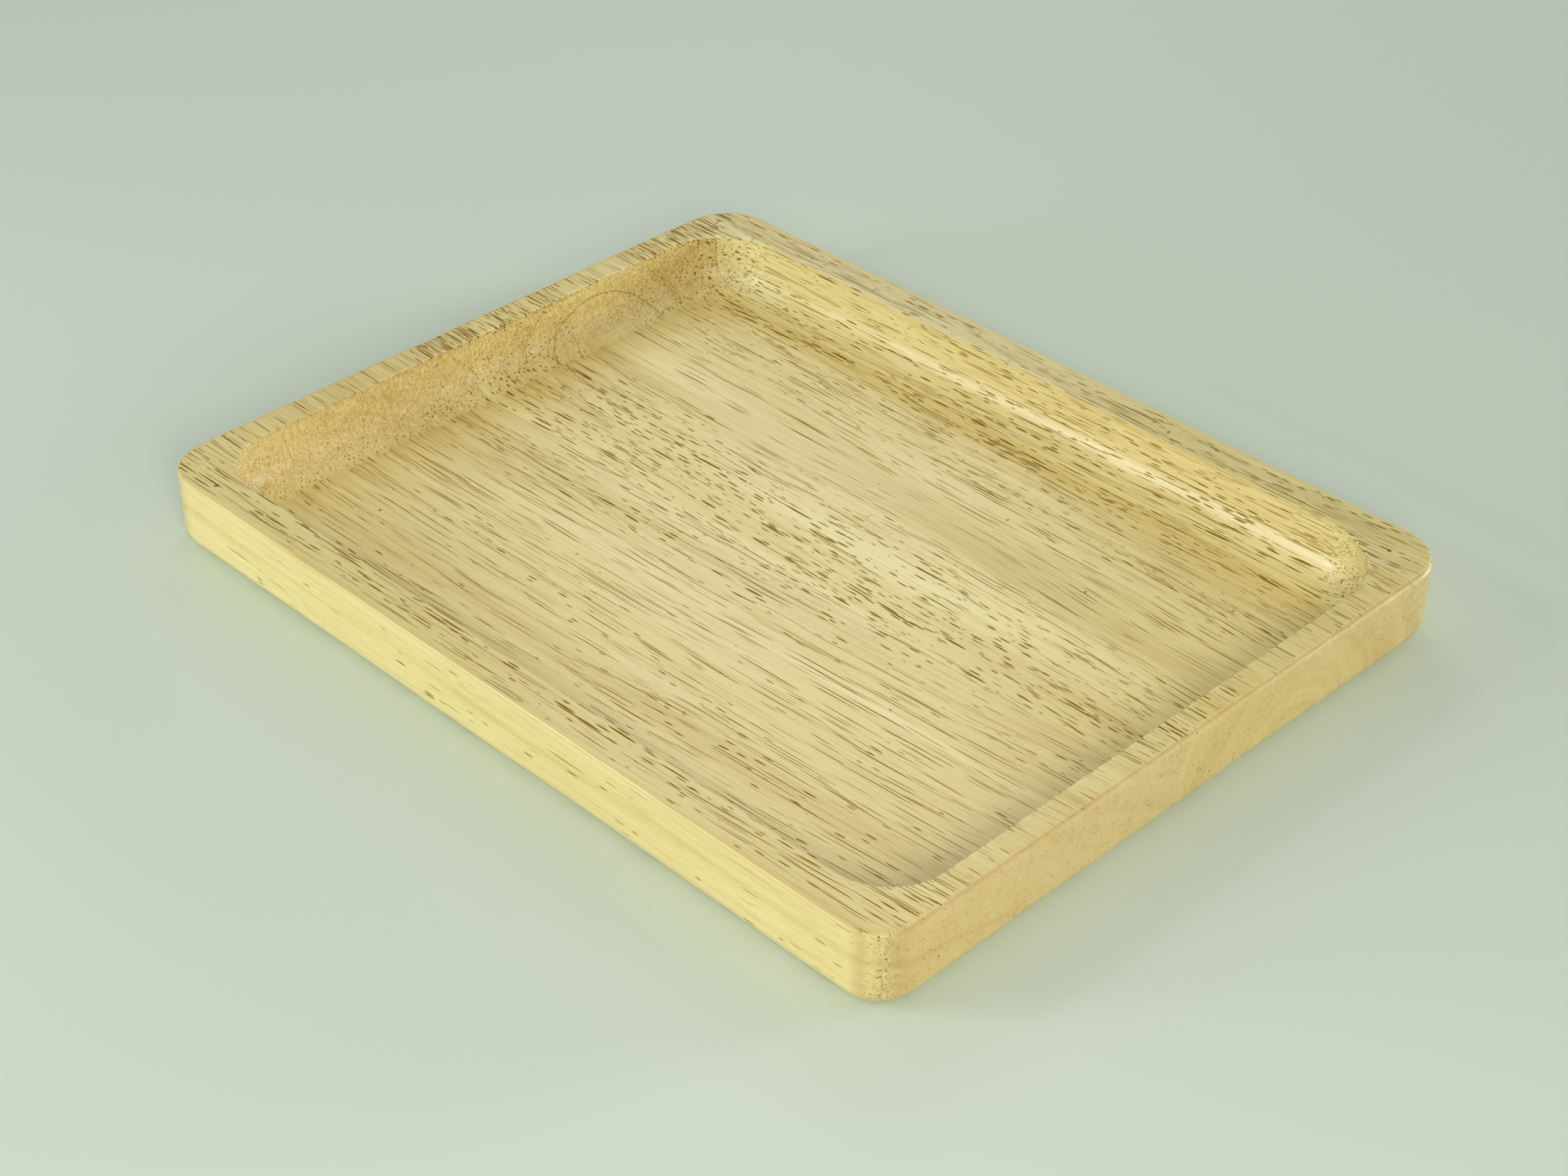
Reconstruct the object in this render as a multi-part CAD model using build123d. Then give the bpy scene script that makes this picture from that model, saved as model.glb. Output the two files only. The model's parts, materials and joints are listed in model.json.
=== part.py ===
"""Small rectangular serving tray, cut from an edge-glued wooden board.

Three staves run the length of the tray and are glued edge to edge. The recess, its coved
walls and the outer round-overs are machined across the glued board, so every stave carries
its own share of them. Each glue joint is a thin sheet of cured adhesive between two staves.

Millimetres. +X runs along the grain and the length of the tray, +Y across the staves and
+Z up. The origin is the centre of the underside.
"""
from build123d import *
import os

# Outside of the board
LENGTH = 250.0
WIDTH = 196.0
HEIGHT = 20.5
UNDERSIDE_ROUND = 5.0         # round-over that lifts the lower edge off the table
TOP_EDGE_EASE = 1.2           # sanded outer edge of the rim

# Recess
LEFT_END_RIM = 9.0            # width of the rim at the -X end
RIGHT_END_RIM = 7.6           # width of the rim at the +X end
SIDE_RIM = 10.4               # width of the rim along both long sides
COVE_RADIUS = 8.5             # between the recess walls and its floor
FLOOR_THICKNESS = 5.0

# Corners seen from above. They are shaped and sanded by hand, so no two are quite alike.
# Each set runs front left, front right, back right, back left, with -Y as the front.
BOARD_CORNER_RADII = (14.0, 10.7, 13.7, 14.7)
RECESS_CORNER_RADII = (16.3, 16.0, 21.3, 19.2)

# Staves, from the front to the back, and the adhesive between them
FRONT_JOINT_Y = -4.6          # middle of the joint between the front and middle staves
BACK_JOINT_Y = 81.0           # middle of the joint between the middle and back staves
GLUE_THICKNESS = 0.15

CUT_MARGIN = 5.0              # how far the cutting solids run past the board


def rounded_outline(length, width, corner_radii):
    """A rectangle with its own radius at each corner, given anticlockwise from front left."""
    x, y = length / 2, width / 2
    corners = ((-x, -y), (x, -y), (x, y), (-x, y))
    outline = Rectangle(length, width)
    for corner, radius in zip(corners, corner_radii):
        sharp_vertex = outline.vertices().sort_by_distance(corner)[0]
        outline = fillet(sharp_vertex, radius=radius)
    return outline


def outer_board():
    """The board's outside: rounded corners, round underside edge and eased top edge."""
    board = extrude(rounded_outline(LENGTH, WIDTH, BOARD_CORNER_RADII), amount=HEIGHT)
    board = fillet(board.edges().group_by(Axis.Z)[0], radius=UNDERSIDE_ROUND)
    return fillet(board.edges().group_by(Axis.Z)[-1], radius=TOP_EDGE_EASE)


def recess_cutter():
    """The solid that the recess removes: flat below, with a cove all round its foot."""
    recess_length = LENGTH - LEFT_END_RIM - RIGHT_END_RIM
    recess_width = WIDTH - 2 * SIDE_RIM
    recess_centre_x = (LEFT_END_RIM - RIGHT_END_RIM) / 2
    outline = rounded_outline(recess_length, recess_width, RECESS_CORNER_RADII)
    cutter = extrude(outline, amount=HEIGHT - FLOOR_THICKNESS + CUT_MARGIN)
    cutter = fillet(cutter.edges().group_by(Axis.Z)[0], radius=COVE_RADIUS)
    return Pos(recess_centre_x, 0, FLOOR_THICKNESS) * cutter


def strip_of(board, low_y, high_y):
    """The part of the board that lies between two planes across Y."""
    strip_width = high_y - low_y
    knife = Box(LENGTH + 2 * CUT_MARGIN, strip_width, HEIGHT + 2 * CUT_MARGIN)
    knife = Pos(0, low_y + strip_width / 2, HEIGHT / 2) * knife
    return board & knife


def divided_board():
    """Every piece of the tray, by name."""
    board = outer_board() - recess_cutter()
    half_glue = GLUE_THICKNESS / 2
    outside_y = WIDTH / 2 + CUT_MARGIN
    return {
        "front_stave": strip_of(board, -outside_y, FRONT_JOINT_Y - half_glue),
        "front_glue_line": strip_of(board, FRONT_JOINT_Y - half_glue, FRONT_JOINT_Y + half_glue),
        "middle_stave": strip_of(board, FRONT_JOINT_Y + half_glue, BACK_JOINT_Y - half_glue),
        "back_glue_line": strip_of(board, BACK_JOINT_Y - half_glue, BACK_JOINT_Y + half_glue),
        "back_stave": strip_of(board, BACK_JOINT_Y + half_glue, outside_y),
    }


def main():
    os.makedirs("parts", exist_ok=True)
    for name, piece in divided_board().items():
        export_step(piece, f"parts/{name}.step")


main()
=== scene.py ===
"""Looks of the wooden serving tray: dense stave meshes with solid wood grain, on a pale table.

Lengths are written in millimetres and turned into metres with MM, unless a comment says metres.
+X runs along the grain, +Y across the staves from the front one to the back one, and +Z up.
"""
import json
import math
from dataclasses import dataclass

import bmesh
import bpy
import numpy as np
from mathutils import Matrix, Vector, noise
from mathutils.geometry import delaunay_2d_cdt


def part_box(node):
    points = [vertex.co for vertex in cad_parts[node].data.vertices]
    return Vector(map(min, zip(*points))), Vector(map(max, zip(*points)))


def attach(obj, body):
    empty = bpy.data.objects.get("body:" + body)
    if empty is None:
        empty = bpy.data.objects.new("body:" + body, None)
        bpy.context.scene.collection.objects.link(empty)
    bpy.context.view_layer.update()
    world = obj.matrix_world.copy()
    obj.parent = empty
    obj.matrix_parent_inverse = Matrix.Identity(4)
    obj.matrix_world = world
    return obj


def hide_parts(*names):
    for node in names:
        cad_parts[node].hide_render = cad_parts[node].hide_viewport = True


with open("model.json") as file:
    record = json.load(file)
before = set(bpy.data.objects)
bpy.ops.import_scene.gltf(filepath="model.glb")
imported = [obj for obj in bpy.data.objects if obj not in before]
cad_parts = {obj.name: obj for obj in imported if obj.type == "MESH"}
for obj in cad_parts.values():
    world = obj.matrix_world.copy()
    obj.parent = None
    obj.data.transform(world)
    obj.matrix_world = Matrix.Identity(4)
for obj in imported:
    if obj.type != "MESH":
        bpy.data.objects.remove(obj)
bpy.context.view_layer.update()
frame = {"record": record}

MM = 0.001

# The machined shape, as the CAD has it
LENGTH = 250.0
LEFT_END_RIM = 9.0
RIGHT_END_RIM = 7.6
SIDE_RIM = 10.4
COVE_RADIUS = 8.5
UNDERSIDE_ROUND = 5.0
BOARD_CORNER_RADII = (14.0, 10.7, 13.7, 14.7)     # front left, front right, back right, back left
RECESS_CORNER_RADII = (16.3, 16.0, 21.3, 19.2)

# What sanding by hand left
SIDE_TOP_EASE = 0.5           # outer top edge along the grain
END_TOP_EASE = 1.7            # the same edge across the end grain
INNER_EDGE_EASE = 0.25
ROUND_WAVE = 0.9              # how much the underside round-over swells and thins
WALL_WAVE = 0.12              # how far the outer walls wander inwards
CHIP_DEPTH = 0.22             # fibres broken out of the inner edge across the grain

# Mesh density: steps around the outline, steps along the profile, and points on the flat faces
CORNER_STEPS = 26
SIDE_STEPS = 240
END_STEPS = 520
ROUND_OVER_STEPS = 12
WALL_STEPS = 7
TOP_EASE_STEPS = 7
RIM_STEPS = 7
RECESS_WALL_STEPS = 11
COVE_STEPS = 24
FILL_SPACING = 2.5
FILL_CORNER_CUT = 16.0        # keeps the points off the rounded corners
FILL_MARGIN = 0.8             # and off the edge
SHARP_ANGLE = 35              # degrees between two faces that meet at a hard edge


# ---------------------------------------------------------------- shape

def smooth_noise(x, y, z):
    """One value of gradient noise, about -1 to 1."""
    return noise.noise(Vector((x, y, z)))


def quarter_turn(steps):
    """Angles from 0 to a right angle."""
    return np.linspace(0, math.pi / 2, steps + 1)


def between(steps):
    """Shares of the way from one place to another, without the two places themselves."""
    return np.linspace(0, 1, steps + 1)[1:-1]


class Outline:
    """A rounded rectangle sampled anticlockwise from the front left corner, with its normals."""

    def __init__(self, low_x, high_x, low_y, high_y, corner_radii):
        # x, y, the way in along x and along y, where the arc starts, steps on the side after it
        corners = (
            (low_x, low_y, 1, 1, 180, SIDE_STEPS),
            (high_x, low_y, -1, 1, 270, END_STEPS),
            (high_x, high_y, -1, -1, 0, SIDE_STEPS),
            (low_x, high_y, 1, -1, 90, END_STEPS),
        )
        arcs = []
        for (x, y, in_x, in_y, start, side_steps), radius in zip(corners, corner_radii):
            angles = np.radians(np.linspace(start, start + 90, CORNER_STEPS + 1))
            outwards = np.column_stack((np.cos(angles), np.sin(angles)))
            centre = np.array((x + in_x * radius, y + in_y * radius))
            arcs.append((centre + radius * outwards, outwards, side_steps))
        points, normals = [], []
        for (arc, outwards, side_steps), (next_arc, _, _) in zip(arcs, arcs[1:] + arcs[:1]):
            share = between(side_steps)[:, None]
            points += [arc, arc[-1] + share * (next_arc[0] - arc[-1])]
            normals += [outwards, np.repeat(outwards[-1:], len(share), axis=0)]
        self.points = np.vstack(points)
        self.normals = np.vstack(normals)

    def ring(self, inset, height):
        """The outline moved inwards by inset, at a height. Either may differ from point to point."""
        inset = np.broadcast_to(inset, len(self.points))
        height = np.broadcast_to(height, len(self.points))
        flat = self.points - self.normals * inset[:, None]
        return np.column_stack((flat, height))


def varied(outline, wavelength, seed):
    """Noise along an outline, about -1 to 1, that closes on itself."""
    return np.array([smooth_noise(x / wavelength, y / wavelength, seed) for x, y in outline.points])


def broken_edge(outline):
    """How far fibres have broken out of the rim's inner edge: only where it crosses the grain."""
    across_grain = np.abs(outline.normals[:, 0]) ** 3
    coarse = varied(outline, 7.0, 31.0)
    fine = varied(outline, 1.4, 37.0)
    return CHIP_DEPTH * across_grain * np.clip(1.5 * fine + 0.2 * coarse, 0, 1)


def outside_rings(board, height):
    """The rings up the outside: the round-over, the wall and the eased top edge."""
    across_grain = board.normals[:, 0] ** 2
    round_over = UNDERSIDE_ROUND + ROUND_WAVE * varied(board, 55.0, 3.0)
    round_over += 0.25 * ROUND_WAVE * varied(board, 14.0, 5.0)
    ease = SIDE_TOP_EASE + (END_TOP_EASE - SIDE_TOP_EASE) * across_grain
    ease = ease * (1 + 0.25 * varied(board, 20.0, 7.0))
    wall = WALL_WAVE * (1 + varied(board, 70.0, 11.0))
    rings = []
    for angle in quarter_turn(ROUND_OVER_STEPS):
        rings.append(board.ring(wall + round_over * (1 - math.sin(angle)),
                                round_over * (1 - math.cos(angle))))
    for share in between(WALL_STEPS):
        rings.append(board.ring(wall, round_over + share * (height - ease - round_over)))
    for angle in quarter_turn(TOP_EASE_STEPS):
        rings.append(board.ring(wall + ease * (1 - math.cos(angle)),
                                height - ease * (1 - math.sin(angle))))
    return rings


def inner_edge_rings(recess, height):
    """The rings over the rim's inner edge, with its broken fibres, down to the clean wall."""
    chips = broken_edge(recess)
    return [
        recess.ring(-INNER_EDGE_EASE - chips, height),
        recess.ring(-0.3 * INNER_EDGE_EASE - 0.8 * chips, height - 0.3 * INNER_EDGE_EASE),
        recess.ring(-0.45 * chips, height - INNER_EDGE_EASE - 0.2 * chips),
        recess.ring(0, height - INNER_EDGE_EASE - 1.2 * CHIP_DEPTH),
    ]


def recess_rings(recess, wall_top, floor_height):
    """The rings down the recess: its wall, then the cove that runs out on the floor."""
    cove_top = floor_height + COVE_RADIUS
    rings = []
    for share in between(RECESS_WALL_STEPS):
        rings.append(recess.ring(0, wall_top + share * (cove_top - wall_top)))
    for angle in quarter_turn(COVE_STEPS):
        rings.append(recess.ring(COVE_RADIUS * (1 - math.cos(angle)),
                                 cove_top - COVE_RADIUS * math.sin(angle)))
    return rings


def tray_rings(board, recess, height, floor_height):
    """All rings of the tray's surface, from the underside round to the floor of the recess.

    Also gives which of them run over the broken inner edge.
    """
    outside = outside_rings(board, height)
    inner_edge = inner_edge_rings(recess, height)
    rim = [outside[-1] + share * (inner_edge[0] - outside[-1]) for share in between(RIM_STEPS)]
    inside = recess_rings(recess, inner_edge[-1][0, 2], floor_height)
    edge = len(outside) + len(rim)
    return outside + rim + inner_edge + inside, range(edge, edge + len(inner_edge) - 1)


def filled(loop, upwards):
    """Points and triangles that close a flat loop, with points of a grid inside it."""
    low, high = loop[:, :2].min(0), loop[:, :2].max(0)
    grid_x = np.arange(low[0] + FILL_SPACING, high[0], FILL_SPACING)
    grid_y = np.arange(low[1] + FILL_SPACING, high[1], FILL_SPACING)
    inner = [(x, y) for x in grid_x for y in grid_y if clear_of_corners(x, y, low, high)]
    flat = [Vector(point[:2]) for point in loop] + [Vector(point) for point in inner]
    edge_loop = list(range(len(loop)))
    found, _, triangles, source, _, _ = delaunay_2d_cdt(flat, [], [edge_loop], 1, 1e-6)
    points = np.array([(x, y, loop[0, 2]) for x, y in found])
    order = [ids[0] if ids else -1 for ids in source]
    return points, [tri if upwards else tri[::-1] for tri in triangles], order


def clear_of_corners(x, y, low, high):
    """True for a point that stays inside a box whose corners are cut back."""
    cut = FILL_CORNER_CUT
    to_x = min(x - low[0], high[0] - x)
    to_y = min(y - low[1], high[1] - y)
    if min(to_x, to_y) < FILL_MARGIN:
        return False
    return to_x > cut or to_y > cut or math.hypot(cut - to_x, cut - to_y) < cut - FILL_MARGIN


def tray_mesh():
    """The whole tray as one closed mesh, in metres, before it is divided at the glue joints."""
    low = np.array(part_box("front_stave")[0]) / MM
    high = np.array(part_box("back_stave")[1]) / MM
    board = Outline(low[0], high[0], low[1], high[1], BOARD_CORNER_RADII)
    recess = Outline(low[0] + LEFT_END_RIM, high[0] - RIGHT_END_RIM,
                     low[1] + SIDE_RIM, high[1] - SIDE_RIM, RECESS_CORNER_RADII)
    mounts = {mount["name"]: mount for mount in frame["record"]["mounts"]}
    floor_height = mounts["recess_floor"]["pos_m"][2] / MM
    rings, edge_rings = tray_rings(board, recess, high[2], floor_height)
    count = len(board.points)
    mesh = bmesh.new()
    torn = mesh.verts.layers.float.new("torn")
    rows = [[mesh.verts.new(Vector(point) * MM) for point in ring] for ring in rings]
    for index in edge_rings:
        for vertex, chip in zip(rows[index], broken_edge(recess)):
            vertex[torn] = chip / CHIP_DEPTH
    for below, above in zip(rows, rows[1:]):
        for here in range(count):
            after = (here + 1) % count
            mesh.faces.new((below[here], below[after], above[after], above[here]))
    close_with_fill(mesh, rows[0], rings[0], upwards=False)
    close_with_fill(mesh, rows[-1], rings[-1], upwards=True)
    return mesh


def close_with_fill(mesh, row, loop, upwards):
    """Closes the mesh across a flat ring."""
    points, triangles, order = filled(loop, upwards)
    corners = {}
    for index, original in enumerate(order):
        if 0 <= original < len(row):
            corners[index] = row[original]
        else:
            corners[index] = mesh.verts.new(Vector(points[index]) * MM)
    for triangle in triangles:
        mesh.faces.new([corners[index] for index in triangle])


def cut_piece(whole, name, low_y, high_y):
    """The part of the tray between two upright planes, as a closed object with its own mesh."""
    mesh = whole.copy()
    for plane_y, outwards in ((low_y, -1), (high_y, 1)):
        if plane_y is None:
            continue
        everything = mesh.verts[:] + mesh.edges[:] + mesh.faces[:]
        bmesh.ops.bisect_plane(mesh, geom=everything, dist=1e-8, plane_co=(0, plane_y, 0),
                               plane_no=(0, outwards, 0), clear_outer=True)
        rim = [edge for edge in mesh.edges if edge.is_boundary]
        cap = bmesh.ops.holes_fill(mesh, edges=rim, sides=0)["faces"]
        bmesh.ops.triangulate(mesh, faces=cap)
    data = bpy.data.meshes.new(name)
    mesh.to_mesh(data)
    mesh.free()
    data.shade_smooth()
    data.set_sharp_from_angle(angle=math.radians(SHARP_ANGLE))
    piece = bpy.data.objects.new(name, data)
    bpy.context.scene.collection.objects.link(piece)
    return piece


def divided_tray():
    """Every piece of the tray as a dense mesh, by the name of the CAD node it stands for."""
    front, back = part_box("front_glue_line"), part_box("back_glue_line")
    cuts = {
        "front_stave": (None, front[0].y),
        "front_glue_line": (front[0].y, front[1].y),
        "middle_stave": (front[1].y, back[0].y),
        "back_glue_line": (back[0].y, back[1].y),
        "back_stave": (back[1].y, None),
    }
    whole = tray_mesh()
    pieces = {node: cut_piece(whole, node + "_visual", *planes) for node, planes in cuts.items()}
    whole.free()
    return pieces


# ---------------------------------------------------------------- shader graphs

class Graph:
    """Adds shader nodes to a material. Its methods take sockets or plain values and give sockets."""

    def __init__(self, name):
        self.material = bpy.data.materials.new(name)
        self.material.use_nodes = True
        self.tree = self.material.node_tree
        self.tree.nodes.clear()

    def add(self, kind, inputs, output=0, **settings):
        node = self.tree.nodes.new("ShaderNode" + kind)
        for name, value in settings.items():
            setattr(node, name, value)
        for key, value in inputs.items():
            if isinstance(value, bpy.types.NodeSocket):
                self.tree.links.new(value, node.inputs[key])
            else:
                node.inputs[key].default_value = value
        return node.outputs[output]

    def math(self, operation, first, second=0.0):
        return self.add("Math", {0: first, 1: second}, operation=operation)

    def plus(self, first, second):
        return self.math("ADD", first, second)

    def times(self, first, second):
        return self.math("MULTIPLY", first, second)

    def vector(self, operation, first, second=(0.0, 0.0, 0.0)):
        return self.add("VectorMath", {0: first, 1: second}, operation=operation)

    def place(self):
        """Where the shaded point is on its object, in mm."""
        return self.vector("MULTIPLY", self.add("TexCoord", {}, output=3), (1 / MM,) * 3)

    def split(self, vector):
        """The three parts of a vector."""
        parts = self.add("SeparateXYZ", {0: vector}).node
        return parts.outputs[0], parts.outputs[1], parts.outputs[2]

    def join(self, x, y, z):
        return self.add("CombineXYZ", {0: x, 1: y, 2: z})

    def length(self, x, y):
        return self.math("SQRT", self.plus(self.times(x, x), self.times(y, y)))

    def ease(self, value, low, high, at_low=0.0, at_high=1.0):
        """Goes smoothly from at_low to at_high while value goes from low to high."""
        levels = {0: value, 1: low, 2: high, 3: at_low, 4: at_high}
        return self.add("MapRange", levels, interpolation_type="SMOOTHSTEP")

    def noise(self, position, cell, seed, detail=2.0, roughness=0.5):
        """Soft noise, 0 to 1, with blobs the size of cell (in the units of position)."""
        inverse = tuple(1.0 / side for side in cell)
        place = self.vector("ADD", self.vector("MULTIPLY", position, inverse), (seed, 0.7 * seed, -seed))
        return self.add("TexNoise", {"Vector": place, "Scale": 1.0, "Detail": detail,
                                     "Roughness": roughness})

    def mix(self, share, first, second, blend="MIX"):
        return self.add("Mix", {0: share, 6: first, 7: second}, output=2, data_type="RGBA",
                        blend_type=blend)

    def clamped(self, value):
        """The value kept between 0 and 1."""
        return self.math("MINIMUM", self.math("MAXIMUM", value, 0.0), 1.0)

    def tinted(self, colour, tint):
        return self.mix(1.0, colour, tint, blend="MULTIPLY")

    def stained(self, colour, share, tint):
        """The colour tinted where share is 1, and as it was where share is 0."""
        return self.mix(self.clamped(share), colour, self.tinted(colour, tint))

    def finish(self, **inputs):
        """Closes the graph with a Principled surface and gives the material."""
        named = {name.replace("_", " "): value for name, value in inputs.items()}
        surface = self.add("BsdfPrincipled", named)
        end = self.tree.nodes.new("ShaderNodeOutputMaterial")
        self.tree.links.new(surface, end.inputs["Surface"])
        return self.material


# ---------------------------------------------------------------- wood

PALE = (0.885, 0.805, 0.390, 1.0)
STRAW = (0.800, 0.675, 0.285, 1.0)
TAN = (0.640, 0.495, 0.155, 1.0)
END_GRAIN_TINT = (0.92, 0.90, 0.89, 1.0)
SANDED_END_TINT = (0.81, 0.76, 0.73, 1.0)
FLECK_DARK = (0.78, 0.72, 0.62, 1.0)
FLECK_PALE = (1.10, 1.10, 1.14, 1.0)
PORE_TINT = (0.34, 0.25, 0.04, 1.0)
STREAK_TINT = (0.74, 0.66, 0.44, 1.0)
RING_TINT = (0.62, 0.54, 0.44, 1.0)
RIM_TINT = (0.89, 0.88, 0.80, 1.0)
KNOT_TINT = (0.36, 0.28, 0.22, 1.0)
TORN_TINT = (0.74, 0.66, 0.54, 1.0)
GLUE_DARK = (0.36, 0.24, 0.09, 1.0)
GLUE_PALE = (0.55, 0.40, 0.17, 1.0)

# Where along an axis each kind of face begins and where it is complete
SANDED_FROM_X = (122.0, 124.6)        # both ways from the middle, as is the next
SANDED_FROM_Y = (95.8, 97.6)
RIM_FROM_Z = (19.0, 20.4)
LEFT_RIM_FROM_X = (-112.0, -117.0)
SANDED_END_ONSET = (0.05, 0.5)        # as end_onset in Grain, for the sanded outer faces
RINGS_FADE_X = (-60.0, 60.0)          # the growth ring lines fade between these


@dataclass(frozen=True)
class VesselKind:
    """Open vessels of one kind, scattered one to a cell at most.

    Above 1, darkness makes the heart of a vessel wider rather than darker.
    """
    cell_length: float
    cell_width: float
    half_lengths: tuple               # shortest and longest
    half_widths: tuple                # thinnest and widest
    darkness: float


SHORT_VESSELS = VesselKind(5.0, 0.80, (0.8, 2.5), (0.16, 0.27), 1.0)
LONG_VESSELS = VesselKind(20.0, 0.52, (3.5, 13.0), (0.10, 0.17), 1.0)
HEAVY_VESSELS = VesselKind(11.0, 1.00, (1.3, 5.5), (0.22, 0.36), 1.2)
RIM_VESSELS = VesselKind(14.0, 0.80, (3.0, 9.0), (0.20, 0.32), 1.4)


@dataclass(frozen=True)
class Grain:
    """How the wood of one stave runs, in the tray's own axes.

    The vessel bands are (middle y, half width, share of the cells that hold a vessel). The patches
    are (x, y, half length, half width, change of tone): above 0 paler, below 0 browner. Most are the
    wood's own tone, but a few are painted shade or painted highlights, as noted where they are listed.
    """
    seed: float                       # tells its noise from the other staves' noise
    pith: tuple                       # y and z of the centre of its growth rings
    rise: float                       # sideways drift of the grain at the +X end
    short_vessels: tuple
    long_vessels: tuple
    heavy_vessels: tuple
    rim_vessels: tuple                # dark strokes across the rim of the -X end
    patches: tuple
    knots: tuple                      # (x, y, z, radius)
    ring_lines: tuple = ()            # (radius, half width, strength)
    tint: tuple = (1.0, 1.0, 1.0, 1.0)     # of its clear wood
    end_onset: tuple = (0.4, 0.8)     # turn of the surface at which end grain begins and is complete


FRONT_GRAIN = Grain(
    seed=3.7, pith=(-120.0, -160.0), rise=8.0,
    short_vessels=((-97, 8, 0.35), (-84, 6, 0.5), (-60, 20, 0.15), (-14, 10, 0.4)),
    long_vessels=((-96, 10, 0.8), (-78, 10, 0.9), (-55, 14, 1.0), (-30, 14, 1.0), (-10, 9, 0.9)),
    heavy_vessels=((-91, 4, 0.35), (-12, 8, 0.15)),
    rim_vessels=((-11, 8, 0.9), (-45, 12, 0.3), (-84, 10, 0.35)),
    # The browner patch at (-40, -80), over the front cove and the floor before it on the left, is
    # painted shade where the front wall keeps the light off.
    patches=((75, -32, 55, 2.0, 0.8), (-35, -30, 60, 8, 0.25), (-100, -25, 26, 32, -0.45),
             (-30, -13, 60, 4, -0.35), (95, -12, 22, 5, -0.35), (20, -60, 80, 6, 0.2),
             (117, -50, 11, 62, 0.3), (-40, -80, 45, 8, -0.4)),
    knots=((-105.5, -93.2, 20.5, 0.8), (-88, -58, 5, 0.5), (59, -26, 5, 0.45), (-62, -72, 5, 0.4)),
)
MIDDLE_GRAIN = Grain(
    seed=11.3, pith=(39.5, -5.5), rise=-3.0,
    short_vessels=((-1, 9, 0.8), (13, 9, 1.0), (25, 6, 0.5), (64, 10, 0.6), (78, 6, 0.7)),
    long_vessels=((5, 10, 0.3), (22, 9, 0.6), (38, 12, 0.55), (56, 10, 0.9), (72, 10, 0.9)),
    heavy_vessels=((0, 7, 0.45), (14, 9, 0.2), (78.5, 3, 0.9)),
    rim_vessels=((4, 14, 1.0), (30, 10, 0.7), (71, 10, 0.8)),
    patches=((25, 17, 60, 5, 0.9), (-85, 42, 28, 6, 0.8), (60, 24, 40, 3, 0.6), (0, 54, 50, 2, 0.5),
             (45, 38, 70, 6, -0.45), (20, 77, 110, 4, -0.35), (-100, 20, 20, 25, -0.4),
             (75, 66, 30, 7, -0.3)),
    knots=((26, 51, 5, 0.6), (60, 41, 5, 0.55), (-8, 40, 5, 0.35), (90, 60, 5, 0.4)),
    ring_lines=((21.8, 0.24, 0.8), (15.5, 0.2, 0.3), (30.0, 0.3, 0.25)),
    tint=(1.025, 1.035, 1.0, 1.0),
)
BACK_GRAIN = Grain(
    seed=23.9, pith=(60.0, 120.0), rise=2.0,
    short_vessels=((82, 5, 0.6), (90, 5, 0.4), (97, 4, 0.5)),
    long_vessels=((82, 4, 0.8), (88, 5, 0.9), (95, 5, 0.9)),
    heavy_vessels=((82, 4, 0.25), (92, 5, 0.03)),
    rim_vessels=((86, 8, 0.7),),
    # The paler patch at (-104, 85) in the back-left corner of the cove and the one at (95, 86) along its
    # right part are painted highlights.
    patches=((0, 83, 100, 2.5, -0.4), (100, 94, 30, 6, -0.25), (-104, 85, 16, 4, 0.8),
             (95, 86, 20, 3, 0.4)),
    knots=((113.2, 87.6, 20.3, 0.8), (-118, 88.3, 20.5, 0.7), (-37, 93, 20.5, 0.5),
           (43, 91.5, 20.5, 0.6)),
    tint=(1.0, 1.045, 1.12, 1.0), end_onset=(0.74, 1.0),
)


def grain_position(graph, here, grain):
    """The same place with the grain straightened out: x along it, y and z across."""
    x, y, z = graph.split(here)
    along = graph.plus(graph.times(x, 1 / LENGTH), 0.5)
    drift = graph.times(graph.times(along, along), grain.rise)
    wander = graph.plus(graph.noise(here, (120, 26, 26), grain.seed, detail=1), -0.5)
    ripple = graph.plus(graph.noise(here, (26, 6, 6), grain.seed + 5, detail=1), -0.5)
    sideways = graph.plus(graph.times(wander, 6.0), graph.times(ripple, 1.3))
    straight_y = graph.plus(graph.math("SUBTRACT", y, drift), sideways)
    return graph.join(x, straight_y, graph.plus(z, graph.times(wander, -3.0)))


def band_sum(graph, coordinate, bands):
    """Adds up soft bumps along one coordinate, each (middle, half width, height)."""
    total = 0.0
    for middle, half_width, height in bands:
        away = graph.math("ABSOLUTE", graph.plus(coordinate, -middle))
        total = graph.plus(total, graph.ease(away, 1.5 * half_width, 0.5 * half_width, 0.0, height))
    return total


def patch_sum(graph, place, patches):
    """Adds up soft long ovals seen from above, each (x, y, half length, half width, height)."""
    x, y, _ = graph.split(place)
    total = 0.0
    for middle_x, middle_y, half_length, half_width, height in patches:
        across = graph.times(graph.plus(y, -middle_y), 1 / half_width)
        along = graph.times(graph.plus(x, -middle_x), 1 / half_length)
        total = graph.plus(total, graph.ease(graph.length(across, along), 1.4, 0.2, 0.0, height))
    return total


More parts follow.
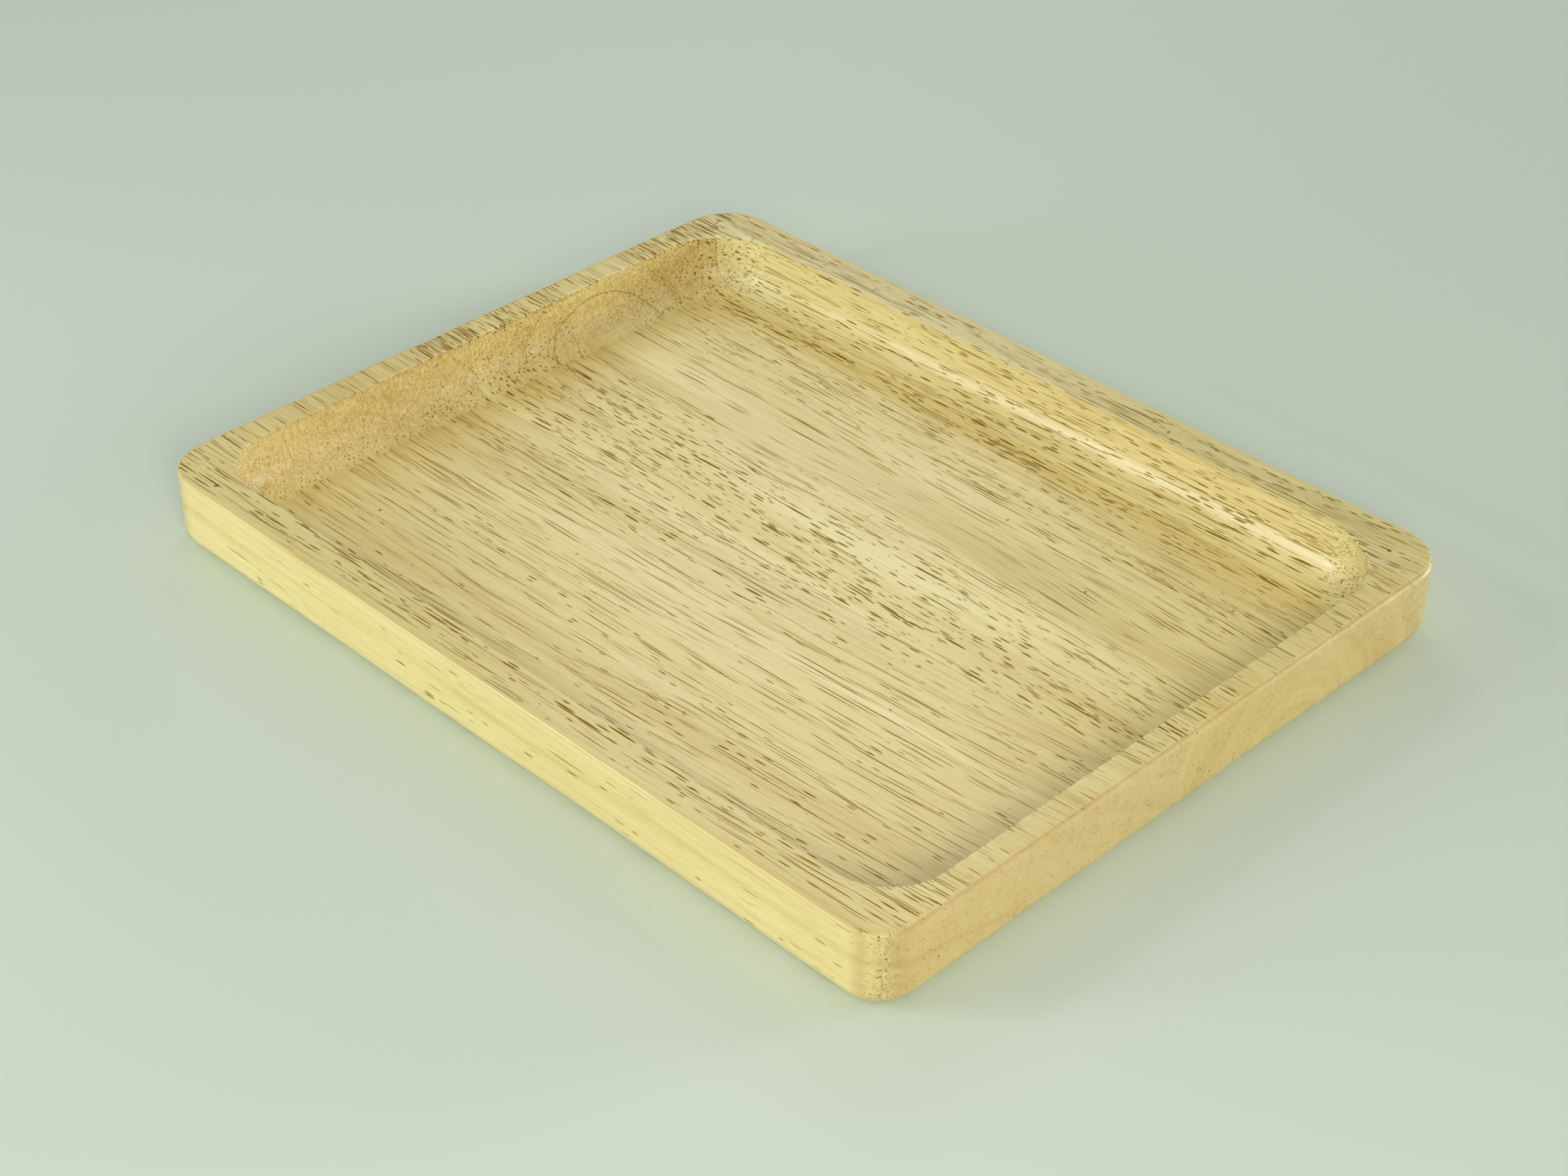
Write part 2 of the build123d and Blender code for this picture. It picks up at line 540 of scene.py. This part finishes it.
def tone(graph, straight, grain):
    """How pale the clear wood is: -1 tan, 0 straw, 1 pale. Some patches in it are painted shade or
    painted highlights. Also gives its fibres and ring radius.
    """
    _, across, up = graph.split(straight)
    radius = graph.length(graph.plus(across, -grain.pith[0]), graph.plus(up, -grain.pith[1]))
    rings = graph.noise(graph.join(0.0, radius, 0.0), (1, 3.6, 1), grain.seed, detail=3, roughness=0.6)
    broad = graph.noise(straight, (90, 10, 10), grain.seed + 9, detail=2)
    threads = graph.noise(straight, (70, 1.6, 1.6), grain.seed + 4, detail=2, roughness=0.6)
    fibres = graph.noise(straight, (22, 0.5, 0.5), grain.seed + 2, detail=3, roughness=0.65)
    total = patch_sum(graph, straight, grain.patches)
    for layer, weight in ((rings, 1.9), (broad, 0.8), (threads, 1.5), (fibres, 1.2)):
        total = graph.plus(total, graph.times(graph.plus(layer, -0.5), weight))
    return total, fibres, radius


def vessel_layer(graph, straight, seed, kind, shown):
    """Vessels cut open: thin ellipsoids along the grain. 0 in the wood, 1 or more in a vessel."""
    cells = (1 / kind.cell_length, 1 / kind.cell_width, 1 / kind.cell_width)
    scaled = graph.vector("ADD", graph.vector("MULTIPLY", straight, cells), (seed, 2 * seed, 3 * seed))
    nearest = graph.add("TexVoronoi", {"Vector": scaled, "Scale": 1.0}).node
    away = graph.vector("SUBTRACT", scaled, nearest.outputs["Position"])
    along, across, up = graph.split(away)
    chance, size, depth = graph.split(nearest.outputs["Color"])
    half_length = graph.ease(size, 0.0, 1.0, *kind.half_lengths)
    half_width = graph.ease(depth, 0.0, 1.0, *kind.half_widths)
    along = graph.math("DIVIDE", graph.times(along, kind.cell_length), half_length)
    across = graph.math("DIVIDE", graph.times(graph.length(across, up), kind.cell_width), half_width)
    inside = graph.ease(graph.length(along, across), 1.08, 0.70)
    present = graph.math("LESS_THAN", chance, shown)
    dark = graph.ease(size, 0.0, 1.0, 0.65 * kind.darkness, kind.darkness)
    return graph.times(graph.times(inside, present), dark)


def vessels(graph, straight, grain, face):
    """All the open vessels of a stave, in drifts. End faces show fewer, as dots, sanded ones fewest."""
    along, across, _ = graph.split(straight)
    drifts = graph.noise(straight, (45, 3.5, 3.5), grain.seed + 7, detail=2)
    thinning = graph.times(graph.ease(drifts, 0.3, 0.7, 0.45, 1.25),
                           graph.ease(face.end, 0, 1, 1, 0.75))
    thinning = graph.times(thinning, graph.ease(face.sanded, 0.0, 1.0, 1.0, 0.1))
    on_rim = graph.times(thinning, graph.ease(face.rim, 0.0, 1.0, 1.0, 4.5))
    on_left_rim = graph.times(face.rim, graph.ease(along, *LEFT_RIM_FROM_X))
    # kind, bands, step to a seed of its own, and how many more or fewer there are
    layers = (
        (SHORT_VESSELS, grain.short_vessels, 0, thinning),
        (LONG_VESSELS, grain.long_vessels, 57, thinning),
        (HEAVY_VESSELS, grain.heavy_vessels, 31, on_rim),
        (RIM_VESSELS, grain.rim_vessels, 83, on_left_rim),
    )
    deepest = 0.0
    for kind, bands, seed_step, share in layers:
        shown = graph.times(band_sum(graph, across, bands), share)
        layer = vessel_layer(graph, straight, grain.seed + seed_step, kind, shown)
        deepest = graph.math("MAXIMUM", deepest, layer)
    return deepest


def knot_sum(graph, here, knots):
    """Pin knots and specks: small dark balls with a ragged edge."""
    ragged = graph.times(graph.plus(graph.noise(here, (0.6, 0.6, 0.6), 2.0), -0.5), 0.8)
    total = 0.0
    for x, y, z, radius in knots:
        away = graph.vector("SUBTRACT", here, (x, y, z))
        distance = graph.add("VectorMath", {0: away}, output=1, operation="LENGTH")
        total = graph.plus(total, graph.ease(graph.plus(distance, ragged), radius, 0.5 * radius))
    return total


@dataclass(frozen=True)
class Face:
    """What kind of face the shaded point is on, each from 0 to 1."""
    turn: object                      # how far the surface faces along the grain
    sanded: object                    # the outer faces
    end: object                       # end grain
    rim: object                       # the flat top


def face_kind(graph, here, grain):
    """Tells the kinds of face apart by where the point is and which way the surface faces."""
    normal_x, _, _ = graph.split(graph.add("NewGeometry", {}, output=1))
    turn = graph.math("ABSOLUTE", normal_x)
    x, y, z = graph.split(here)
    sanded = graph.math("MAXIMUM", graph.ease(graph.math("ABSOLUTE", x), *SANDED_FROM_X),
                        graph.ease(graph.math("ABSOLUTE", y), *SANDED_FROM_Y))
    onset, complete = grain.end_onset
    sanded_onset, sanded_complete = SANDED_END_ONSET
    end = graph.ease(turn, graph.ease(sanded, 0, 1, onset, sanded_onset),
                     graph.ease(sanded, 0, 1, complete, sanded_complete))
    return Face(turn, sanded, end, graph.ease(z, *RIM_FROM_Z))


def clear_wood(graph, straight, grain, face):
    """The colour of the wood between its vessels. Also gives its fibres and ring radius."""
    pale, fibres, radius = tone(graph, straight, grain)
    brown = graph.clamped(graph.times(pale, -1.0))
    pale = graph.clamped(pale)
    colour = graph.mix(pale, graph.mix(brown, STRAW, TAN), PALE)
    colour = graph.tinted(colour, grain.tint)
    streaks = graph.noise(straight, (32, 0.42, 0.42), grain.seed + 6, detail=1)
    streaks = graph.times(graph.ease(streaks, 0.56, 0.70), graph.ease(face.end, 0, 1, 1, 0.2))
    streaks = graph.times(streaks, graph.ease(face.sanded, 0, 1, 1, 0.4))
    return graph.stained(colour, graph.times(streaks, 0.75), STREAK_TINT), fibres, radius


def end_grain(graph, here, grain, face, colour):
    """The colour with end grain in it, where fibres drink more finish and look coarser and darker.

    Also gives the end grain's mottle.
    """
    mottle = graph.noise(here, (1.0, 0.6, 1.3), grain.seed + 13, detail=4, roughness=0.7)
    mottle = graph.times(graph.plus(mottle, -0.5), graph.ease(face.sanded, 0, 1, 1, 0.12))
    mottle = graph.plus(0.5, mottle)
    flecks = graph.mix(graph.ease(mottle, 0.3, 0.7), FLECK_DARK, FLECK_PALE)
    tint = graph.mix(face.sanded, END_GRAIN_TINT, SANDED_END_TINT)
    return graph.stained(colour, face.end, graph.tinted(tint, flecks)), mottle


def ring_marks(graph, here, radius, grain, face):
    """Growth rings dark enough to show as lines, where the surface cuts across them."""
    x, _, _ = graph.split(here)
    cut_across = graph.ease(face.turn, 0.0, 0.35, 0.06, 1.0)
    fading = graph.times(cut_across, graph.ease(x, *RINGS_FADE_X, 1.0, 0.2))
    ragged = graph.times(graph.plus(graph.noise(here, (1.6, 1.6, 1.6), grain.seed + 17), -0.5), 0.9)
    return graph.times(band_sum(graph, graph.plus(radius, ragged), grain.ring_lines), fading)


def wood(name, grain):
    """Clear coated plantation hardwood: straw-coloured, with open vessels that show as dashes."""
    graph = Graph(name)
    here = graph.place()
    straight = grain_position(graph, here, grain)
    face = face_kind(graph, here, grain)
    colour, fibres, radius = clear_wood(graph, straight, grain, face)
    colour, mottle = end_grain(graph, here, grain, face, colour)
    colour = graph.stained(colour, face.rim, RIM_TINT)
    pores = vessels(graph, straight, grain, face)
    colour = graph.stained(colour, pores, PORE_TINT)
    colour = graph.stained(colour, ring_marks(graph, here, radius, grain, face), RING_TINT)
    colour = graph.stained(colour, knot_sum(graph, here, grain.knots), KNOT_TINT)
    torn = graph.add("Attribute", {}, output=2, attribute_name="torn")
    colour = graph.stained(colour, torn, TORN_TINT)

    rough = graph.plus(graph.ease(fibres, 0.2, 0.8, 0.23, 0.37), graph.times(face.end, 0.12))
    rough = graph.plus(rough, graph.times(pores, 0.25))
    gloss = graph.ease(pores, 0.0, 1.0, 0.5, 0.1)
    relief = graph.plus(graph.times(fibres, 0.2), graph.times(pores, -0.8))
    relief = graph.plus(relief, graph.times(graph.times(mottle, face.end), 0.7))
    bump = graph.add("Bump", {"Height": relief, "Strength": 0.5, "Distance": 0.1 * MM})
    return graph.finish(Base_Color=colour, Roughness=rough, Specular_IOR_Level=gloss, Normal=bump)


def cured_glue():
    """A hairline of tan glue, mottled where it was starved or squeezed."""
    graph = Graph("mottled_glue")
    here = graph.place()
    squeeze = graph.noise(here, (7, 1, 3), 4.0, detail=3)
    colour = graph.mix(graph.ease(squeeze, 0.3, 0.7), GLUE_DARK, GLUE_PALE)
    rough = graph.ease(squeeze, 0.3, 0.7, 0.35, 0.6)
    bump = graph.add("Bump", {"Height": squeeze, "Strength": 0.3, "Distance": 0.05 * MM})
    return graph.finish(Base_Color=colour, Roughness=rough, Normal=bump)


# ---------------------------------------------------------------- stage

TABLE_HALF_WIDTH = 8.0                # metres
TABLE_GAP = 0.05                      # below the tray
TABLE_DARK = (0.600, 0.702, 0.580, 1.0)
TABLE_PALE = (0.640, 0.742, 0.620, 1.0)


@dataclass(frozen=True)
class SoftLight:
    """A square light aimed at the tray. Azimuth 0 is in front of it (-Y) and 90 on its +X side."""
    name: str
    azimuth: float
    elevation: float
    side: float                       # metres
    power: float                      # watts
    colour: tuple = (1.0, 1.0, 1.0)
    distance: float = 0.8             # metres


ROOM_STRENGTH = 0.460
LIGHTS = (
    SoftLight("front_left", 329, 15, 0.27, 2.00, (0.96, 0.99, 1.05)),
    SoftLight("spark", 323, 36, 0.07, 0.50),
    SoftLight("camera_side", 53, 30, 0.18, 2.25, (1.0, 0.90, 0.86)),
    SoftLight("back_right", 150, 5, 0.60, 24.0, (0.97, 1.0, 1.0), distance=1.9),
    SoftLight("back_left", 225, 38, 0.27, 0.50),
)

CAMERA_PLACE = (409.874, -405.074, 405.066)
CAMERA_AZIMUTH = 45.479               # degrees, as are the next two
CAMERA_ELEVATION = 35.342
CAMERA_ROLL = -0.116
LENS_LENGTH = 65.672
SENSOR_WIDTH = 36.0
NEAREST_SEEN = 0.01                   # metres


def direction(azimuth, elevation):
    """The unit vector that points away from the tray at these angles, in degrees."""
    turn, rise = math.radians(azimuth), math.radians(elevation)
    return Vector((math.sin(turn) * math.cos(rise), -math.cos(turn) * math.cos(rise), math.sin(rise)))


def table_top():
    """A pale sheet under the tray, so wide that its edge stays out of sight."""
    graph = Graph("pale_table")
    here = graph.place()
    cloud = graph.noise(here, (160, 160, 160), 1.0, detail=2)
    grit = graph.noise(here, (0.8, 0.8, 0.8), 2.0, detail=2)
    shade = graph.times(graph.plus(cloud, -0.5), 0.05)
    shade = graph.plus(shade, graph.times(graph.plus(grit, -0.5), 0.03))
    colour = graph.mix(graph.plus(shade, 0.5), TABLE_DARK, TABLE_PALE)
    rough = graph.ease(grit, 0.2, 0.8, 0.46, 0.56)
    half = TABLE_HALF_WIDTH
    below = -TABLE_GAP * MM
    corners = [(-half, -half, below), (half, -half, below), (half, half, below), (-half, half, below)]
    data = bpy.data.meshes.new("table_top")
    data.from_pydata(corners, [], [(0, 1, 2, 3)])
    data.materials.append(graph.finish(Base_Color=colour, Roughness=rough))
    sheet = bpy.data.objects.new("table_top", data)
    bpy.context.scene.collection.objects.link(sheet)


def soft_light(light):
    """Puts one of the lights in the scene, turned to the tray."""
    away = direction(light.azimuth, light.elevation)
    data = bpy.data.lights.new(light.name, "AREA")
    data.shape = "SQUARE"
    data.size = light.side
    data.energy = light.power
    data.color = light.colour
    lamp = bpy.data.objects.new(light.name, data)
    lamp.location = light.distance * away
    lamp.rotation_euler = (-away).to_track_quat("-Z", "Y").to_euler()
    bpy.context.scene.collection.objects.link(lamp)


def studio():
    """A light tent: even light from all round, stronger from behind on the right."""
    world = bpy.data.worlds.new("soft_room")
    bpy.context.scene.world = world
    world.use_nodes = True
    background = world.node_tree.nodes["Background"]
    background.inputs["Color"].default_value = (1.0, 1.0, 1.0, 1.0)
    background.inputs["Strength"].default_value = ROOM_STRENGTH
    for light in LIGHTS:
        soft_light(light)


def camera():
    """Looks down on the near corner from the front right."""
    back = direction(CAMERA_AZIMUTH, CAMERA_ELEVATION)
    right = Vector((0, 0, 1)).cross(back).normalized()
    up = back.cross(right)
    turned = Matrix((right, up, back)).transposed() @ Matrix.Rotation(math.radians(CAMERA_ROLL), 3, "Z")
    data = bpy.data.cameras.new("camera")
    data.sensor_width = SENSOR_WIDTH
    data.lens = LENS_LENGTH
    data.clip_start = NEAREST_SEEN
    seen_from = bpy.data.objects.new("camera", data)
    seen_from.matrix_world = Matrix.Translation(Vector(CAMERA_PLACE) * MM) @ turned.to_4x4()
    bpy.context.scene.collection.objects.link(seen_from)
    bpy.context.scene.camera = seen_from


def main():
    pieces = divided_tray()
    materials = {
        "front_stave": wood("front_stave_grain", FRONT_GRAIN),
        "middle_stave": wood("middle_stave_grain", MIDDLE_GRAIN),
        "back_stave": wood("back_stave_grain", BACK_GRAIN),
        "front_glue_line": cured_glue(),
    }
    materials["back_glue_line"] = materials["front_glue_line"]
    for node, piece in pieces.items():
        piece.data.materials.append(materials[node])
        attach(piece, "root")
        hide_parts(node)
    table_top()
    studio()
    camera()
    bpy.context.scene.view_settings.view_transform = "Standard"


main()
